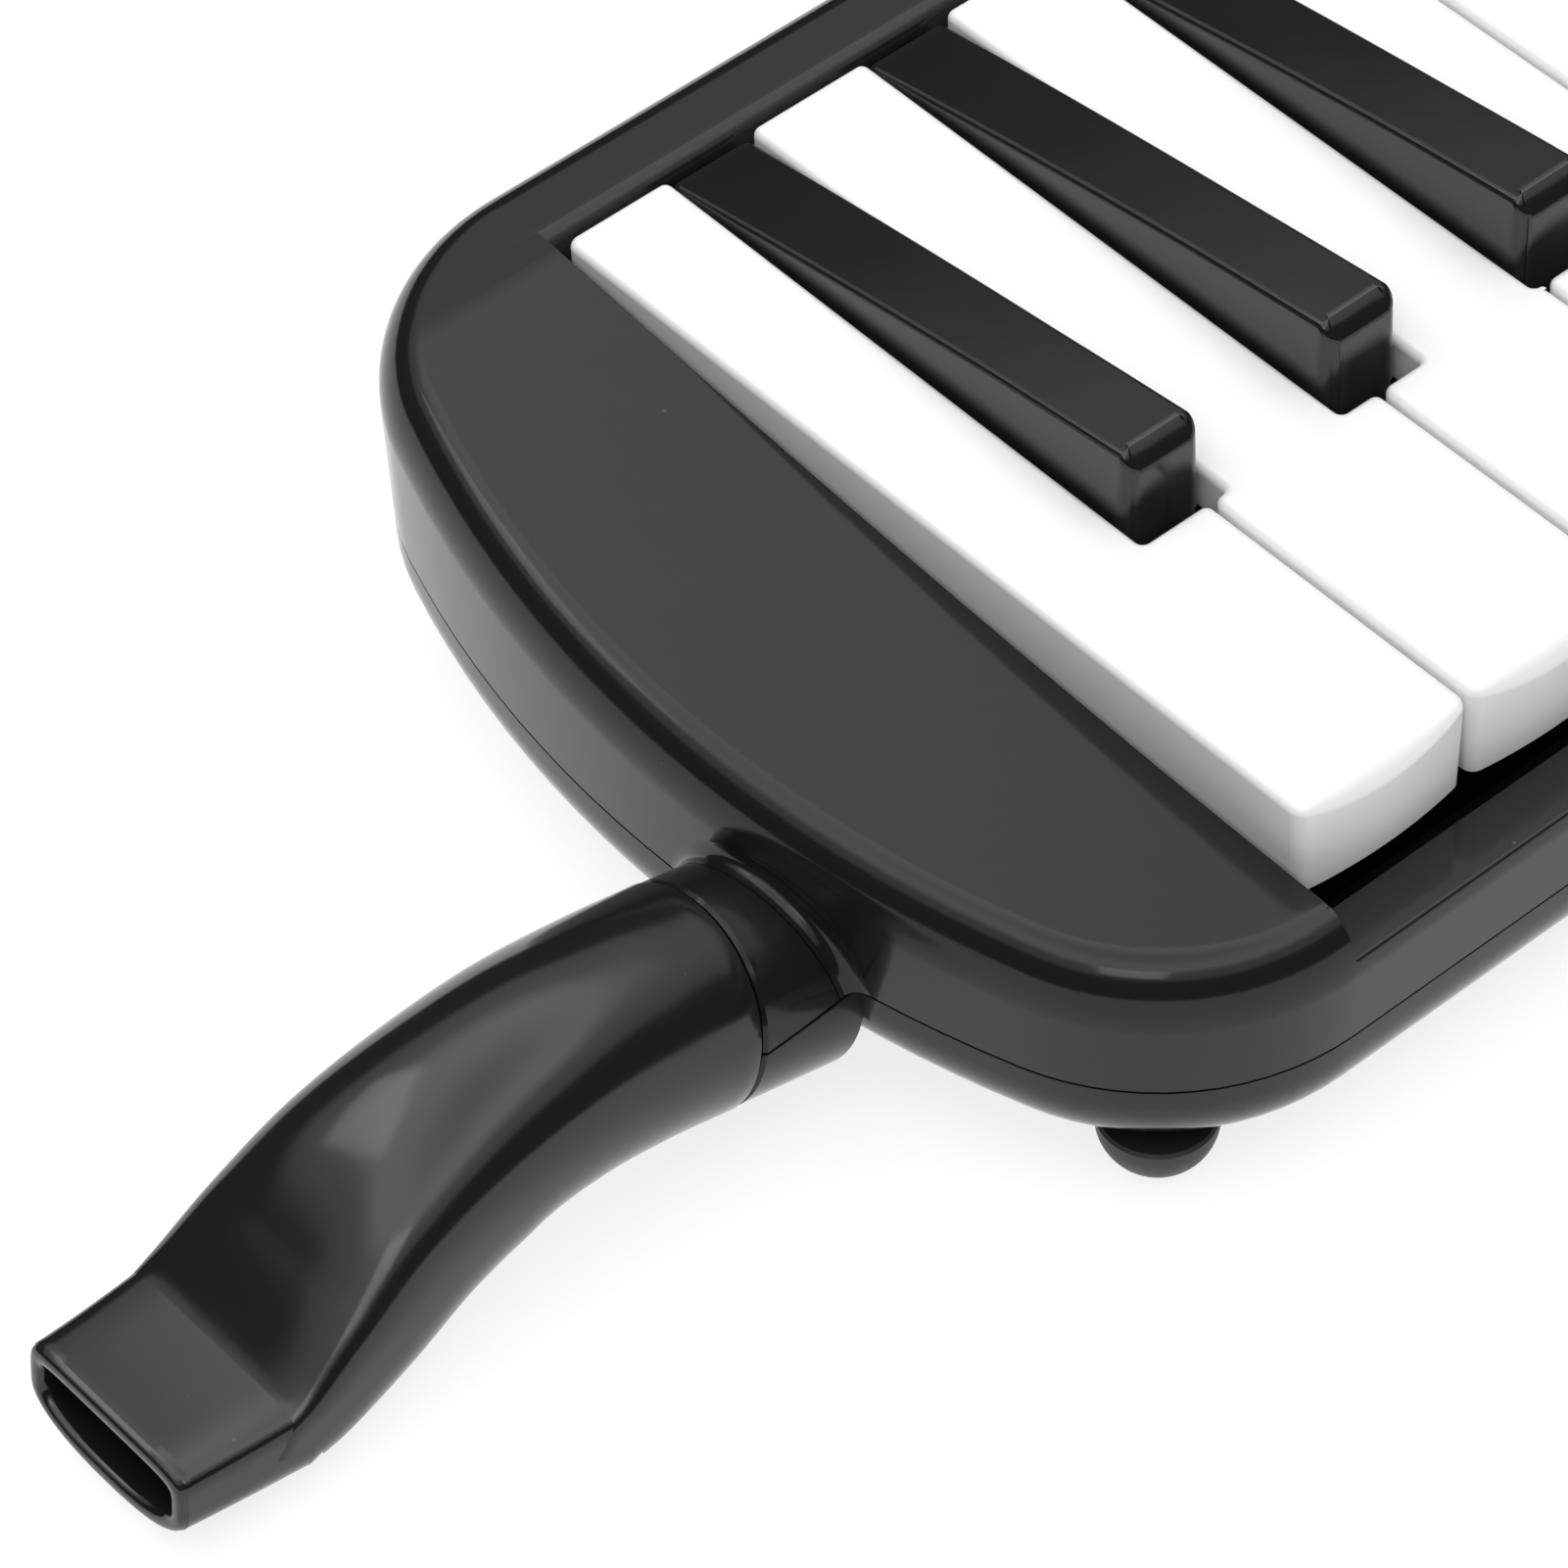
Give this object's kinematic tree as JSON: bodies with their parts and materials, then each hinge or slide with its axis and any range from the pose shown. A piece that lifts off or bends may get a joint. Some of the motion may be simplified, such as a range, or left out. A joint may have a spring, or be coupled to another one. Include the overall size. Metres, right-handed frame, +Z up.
{
  "type": "melodica",
  "caption": "Free-reed wind keyboard with a piano key board in a two-part moulded case, played through a push-fit curved mouthpiece at its left end.",
  "frame": {"origin": "middle of the bounding box's base, on the table under the feet", "axes": "+X toward the high notes, -Y toward the player, +Z up through the keys"},
  "size_m": [0.4906, 0.109, 0.0419],
  "materials": {
    "case_black": "gloss, moulded",
    "mouthpiece_black": "gloss, moulded",
    "drain_black": "gloss, moulded",
    "key_white": "gloss",
    "key_black": "gloss",
    "chest_grey": "satin, moulded",
    "seal_rubber": "matt",
    "foot_rubber": "matt",
    "screw_steel": "satin",
    "rod_steel": "bright drawn",
    "spring_steel": "bright",
    "reed_brass": "rolled sheet",
    "stop_felt": "felt"
  },
  "bodies": {
    "case": {"top_case": "case_black", "bottom_case": "case_black", "wind_chest": "chest_grey", "chest_gasket": "seal_rubber", "chest_lid": "chest_grey", "reed_plate_low": "reed_brass", "reed_plate_high": "reed_brass", "hinge_rod": "rod_steel", "key_spring_comb": "spring_steel", "white_key_felt": "stop_felt", "black_key_felt": "stop_felt", "foot_front_left": "foot_rubber", "foot_rear_left": "foot_rubber", "foot_front_right": "foot_rubber", "foot_rear_right": "foot_rubber", "case_screw_1": "screw_steel", "case_screw_2": "screw_steel", "case_screw_3": "screw_steel", "case_screw_4": "screw_steel", "case_screw_5": "screw_steel", "case_screw_6": "screw_steel"},
    "mouthpiece_sleeve": {"mouthpiece_seal": "seal_rubber"},
    "mouthpiece": {"mouthpiece": "mouthpiece_black"},
    "drain": {"drain_button": "drain_black", "drain_seal": "seal_rubber", "drain_spring": "spring_steel"},
    "key_F3": {"key_F3": "key_white"},
    "key_F3_sharp": {"key_F3_sharp": "key_black"},
    "key_G3": {"key_G3": "key_white"},
    "key_G3_sharp": {"key_G3_sharp": "key_black"},
    "key_A3": {"key_A3": "key_white"},
    "key_A3_sharp": {"key_A3_sharp": "key_black"},
    "key_B3": {"key_B3": "key_white"},
    "key_C4": {"key_C4": "key_white"},
    "key_C4_sharp": {"key_C4_sharp": "key_black"},
    "key_D4": {"key_D4": "key_white"},
    "key_D4_sharp": {"key_D4_sharp": "key_black"},
    "key_E4": {"key_E4": "key_white"},
    "key_F4": {"key_F4": "key_white"},
    "key_F4_sharp": {"key_F4_sharp": "key_black"},
    "key_G4": {"key_G4": "key_white"},
    "key_G4_sharp": {"key_G4_sharp": "key_black"},
    "key_A4": {"key_A4": "key_white"},
    "key_A4_sharp": {"key_A4_sharp": "key_black"},
    "key_B4": {"key_B4": "key_white"},
    "key_C5": {"key_C5": "key_white"},
    "key_C5_sharp": {"key_C5_sharp": "key_black"},
    "key_D5": {"key_D5": "key_white"},
    "key_D5_sharp": {"key_D5_sharp": "key_black"},
    "key_E5": {"key_E5": "key_white"},
    "key_F5": {"key_F5": "key_white"},
    "key_F5_sharp": {"key_F5_sharp": "key_black"},
    "key_G5": {"key_G5": "key_white"},
    "key_G5_sharp": {"key_G5_sharp": "key_black"},
    "key_A5": {"key_A5": "key_white"},
    "key_A5_sharp": {"key_A5_sharp": "key_black"},
    "key_B5": {"key_B5": "key_white"},
    "key_C6": {"key_C6": "key_white"}
  },
  "joints": [
    {"name": "mouthpiece_pull", "type": "slide", "parent": "case", "child": "mouthpiece_sleeve", "axis": [-0.9703, 0, 0.2419], "range_m": [0, 0.014]},
    {"name": "mouthpiece_turn", "type": "hinge", "parent": "mouthpiece_sleeve", "child": "mouthpiece", "pos_m": [-0.18516, -0.01435, 0.0147], "axis": [-0.9703, 0, 0.2419], "continuous": true},
    {"name": "drain_press", "type": "slide", "parent": "case", "child": "drain", "axis": [0, 0, 1], "range_m": [0, 0.0014], "stiffness_N_per_m": 400, "springref_m": -0.0015, "deforming": ["drain_spring"]},
    {"name": "key_F3_press", "type": "hinge", "parent": "case", "child": "key_F3", "pos_m": [-0.14272, 0.02135, 0.0272], "axis": [1, 0, 0], "range_deg": [0, 3.65], "stiffness_Nm_per_rad": 0.15, "springref_deg": -17.19},
    {"name": "key_F3_sharp_press", "type": "hinge", "parent": "case", "child": "key_F3_sharp", "pos_m": [-0.13219, 0.02135, 0.0272], "axis": [1, 0, 0], "range_deg": [0, 4.6], "stiffness_Nm_per_rad": 0.15, "springref_deg": -17.19},
    {"name": "key_G3_press", "type": "hinge", "parent": "case", "child": "key_G3", "pos_m": [-0.12099, 0.02135, 0.0272], "axis": [1, 0, 0], "range_deg": [0, 3.65], "stiffness_Nm_per_rad": 0.15, "springref_deg": -17.19},
    {"name": "key_G3_sharp_press", "type": "hinge", "parent": "case", "child": "key_G3_sharp", "pos_m": [-0.10979, 0.02135, 0.0272], "axis": [1, 0, 0], "range_deg": [0, 4.6], "stiffness_Nm_per_rad": 0.15, "springref_deg": -17.19},
    {"name": "key_A3_press", "type": "hinge", "parent": "case", "child": "key_A3", "pos_m": [-0.09859, 0.02135, 0.0272], "axis": [1, 0, 0], "range_deg": [0, 3.65], "stiffness_Nm_per_rad": 0.15, "springref_deg": -17.19},
    {"name": "key_A3_sharp_press", "type": "hinge", "parent": "case", "child": "key_A3_sharp", "pos_m": [-0.08739, 0.02135, 0.0272], "axis": [1, 0, 0], "range_deg": [0, 4.6], "stiffness_Nm_per_rad": 0.15, "springref_deg": -17.19},
    {"name": "key_B3_press", "type": "hinge", "parent": "case", "child": "key_B3", "pos_m": [-0.07722, 0.02135, 0.0272], "axis": [1, 0, 0], "range_deg": [0, 3.65], "stiffness_Nm_per_rad": 0.15, "springref_deg": -17.19},
    {"name": "key_C4_press", "type": "hinge", "parent": "case", "child": "key_C4", "pos_m": [-0.06512, 0.02135, 0.0272], "axis": [1, 0, 0], "range_deg": [0, 3.65], "stiffness_Nm_per_rad": 0.15, "springref_deg": -17.19},
    {"name": "key_C4_sharp_press", "type": "hinge", "parent": "case", "child": "key_C4_sharp", "pos_m": [-0.05379, 0.02135, 0.0272], "axis": [1, 0, 0], "range_deg": [0, 4.6], "stiffness_Nm_per_rad": 0.15, "springref_deg": -17.19},
    {"name": "key_D4_press", "type": "hinge", "parent": "case", "child": "key_D4", "pos_m": [-0.04259, 0.02135, 0.0272], "axis": [1, 0, 0], "range_deg": [0, 3.65], "stiffness_Nm_per_rad": 0.15, "springref_deg": -17.19},
    {"name": "key_D4_sharp_press", "type": "hinge", "parent": "case", "child": "key_D4_sharp", "pos_m": [-0.03139, 0.02135, 0.0272], "axis": [1, 0, 0], "range_deg": [0, 4.6], "stiffness_Nm_per_rad": 0.15, "springref_deg": -17.19},
    {"name": "key_E4_press", "type": "hinge", "parent": "case", "child": "key_E4", "pos_m": [-0.02042, 0.02135, 0.0272], "axis": [1, 0, 0], "range_deg": [0, 3.65], "stiffness_Nm_per_rad": 0.15, "springref_deg": -17.19},
    {"name": "key_F4_press", "type": "hinge", "parent": "case", "child": "key_F4", "pos_m": [-0.00832, 0.02135, 0.0272], "axis": [1, 0, 0], "range_deg": [0, 3.65], "stiffness_Nm_per_rad": 0.15, "springref_deg": -17.19},
    {"name": "key_F4_sharp_press", "type": "hinge", "parent": "case", "child": "key_F4_sharp", "pos_m": [0.00221, 0.02135, 0.0272], "axis": [1, 0, 0], "range_deg": [0, 4.6], "stiffness_Nm_per_rad": 0.15, "springref_deg": -17.19},
    {"name": "key_G4_press", "type": "hinge", "parent": "case", "child": "key_G4", "pos_m": [0.01341, 0.02135, 0.0272], "axis": [1, 0, 0], "range_deg": [0, 3.65], "stiffness_Nm_per_rad": 0.15, "springref_deg": -17.19},
    {"name": "key_G4_sharp_press", "type": "hinge", "parent": "case", "child": "key_G4_sharp", "pos_m": [0.02461, 0.02135, 0.0272], "axis": [1, 0, 0], "range_deg": [0, 4.6], "stiffness_Nm_per_rad": 0.15, "springref_deg": -17.19},
    {"name": "key_A4_press", "type": "hinge", "parent": "case", "child": "key_A4", "pos_m": [0.03581, 0.02135, 0.0272], "axis": [1, 0, 0], "range_deg": [0, 3.65], "stiffness_Nm_per_rad": 0.15, "springref_deg": -17.19},
    {"name": "key_A4_sharp_press", "type": "hinge", "parent": "case", "child": "key_A4_sharp", "pos_m": [0.04701, 0.02135, 0.0272], "axis": [1, 0, 0], "range_deg": [0, 4.6], "stiffness_Nm_per_rad": 0.15, "springref_deg": -17.19},
    {"name": "key_B4_press", "type": "hinge", "parent": "case", "child": "key_B4", "pos_m": [0.05718, 0.02135, 0.0272], "axis": [1, 0, 0], "range_deg": [0, 3.65], "stiffness_Nm_per_rad": 0.15, "springref_deg": -17.19},
    {"name": "key_C5_press", "type": "hinge", "parent": "case", "child": "key_C5", "pos_m": [0.06928, 0.02135, 0.0272], "axis": [1, 0, 0], "range_deg": [0, 3.65], "stiffness_Nm_per_rad": 0.15, "springref_deg": -17.19},
    {"name": "key_C5_sharp_press", "type": "hinge", "parent": "case", "child": "key_C5_sharp", "pos_m": [0.08061, 0.02135, 0.0272], "axis": [1, 0, 0], "range_deg": [0, 4.6], "stiffness_Nm_per_rad": 0.15, "springref_deg": -17.19},
    {"name": "key_D5_press", "type": "hinge", "parent": "case", "child": "key_D5", "pos_m": [0.09181, 0.02135, 0.0272], "axis": [1, 0, 0], "range_deg": [0, 3.65], "stiffness_Nm_per_rad": 0.15, "springref_deg": -17.19},
    {"name": "key_D5_sharp_press", "type": "hinge", "parent": "case", "child": "key_D5_sharp", "pos_m": [0.10301, 0.02135, 0.0272], "axis": [1, 0, 0], "range_deg": [0, 4.6], "stiffness_Nm_per_rad": 0.15, "springref_deg": -17.19},
    {"name": "key_E5_press", "type": "hinge", "parent": "case", "child": "key_E5", "pos_m": [0.11398, 0.02135, 0.0272], "axis": [1, 0, 0], "range_deg": [0, 3.65], "stiffness_Nm_per_rad": 0.15, "springref_deg": -17.19},
    {"name": "key_F5_press", "type": "hinge", "parent": "case", "child": "key_F5", "pos_m": [0.12608, 0.02135, 0.0272], "axis": [1, 0, 0], "range_deg": [0, 3.65], "stiffness_Nm_per_rad": 0.15, "springref_deg": -17.19},
    {"name": "key_F5_sharp_press", "type": "hinge", "parent": "case", "child": "key_F5_sharp", "pos_m": [0.13661, 0.02135, 0.0272], "axis": [1, 0, 0], "range_deg": [0, 4.6], "stiffness_Nm_per_rad": 0.15, "springref_deg": -17.19},
    {"name": "key_G5_press", "type": "hinge", "parent": "case", "child": "key_G5", "pos_m": [0.14781, 0.02135, 0.0272], "axis": [1, 0, 0], "range_deg": [0, 3.65], "stiffness_Nm_per_rad": 0.15, "springref_deg": -17.19},
    {"name": "key_G5_sharp_press", "type": "hinge", "parent": "case", "child": "key_G5_sharp", "pos_m": [0.15901, 0.02135, 0.0272], "axis": [1, 0, 0], "range_deg": [0, 4.6], "stiffness_Nm_per_rad": 0.15, "springref_deg": -17.19},
    {"name": "key_A5_press", "type": "hinge", "parent": "case", "child": "key_A5", "pos_m": [0.17021, 0.02135, 0.0272], "axis": [1, 0, 0], "range_deg": [0, 3.65], "stiffness_Nm_per_rad": 0.15, "springref_deg": -17.19},
    {"name": "key_A5_sharp_press", "type": "hinge", "parent": "case", "child": "key_A5_sharp", "pos_m": [0.18141, 0.02135, 0.0272], "axis": [1, 0, 0], "range_deg": [0, 4.6], "stiffness_Nm_per_rad": 0.15, "springref_deg": -17.19},
    {"name": "key_B5_press", "type": "hinge", "parent": "case", "child": "key_B5", "pos_m": [0.19158, 0.02135, 0.0272], "axis": [1, 0, 0], "range_deg": [0, 3.65], "stiffness_Nm_per_rad": 0.15, "springref_deg": -17.19},
    {"name": "key_C6_press", "type": "hinge", "parent": "case", "child": "key_C6", "pos_m": [0.20664, 0.02135, 0.0272], "axis": [1, 0, 0], "range_deg": [0, 3.65], "stiffness_Nm_per_rad": 0.15, "springref_deg": -17.19}
  ]
}
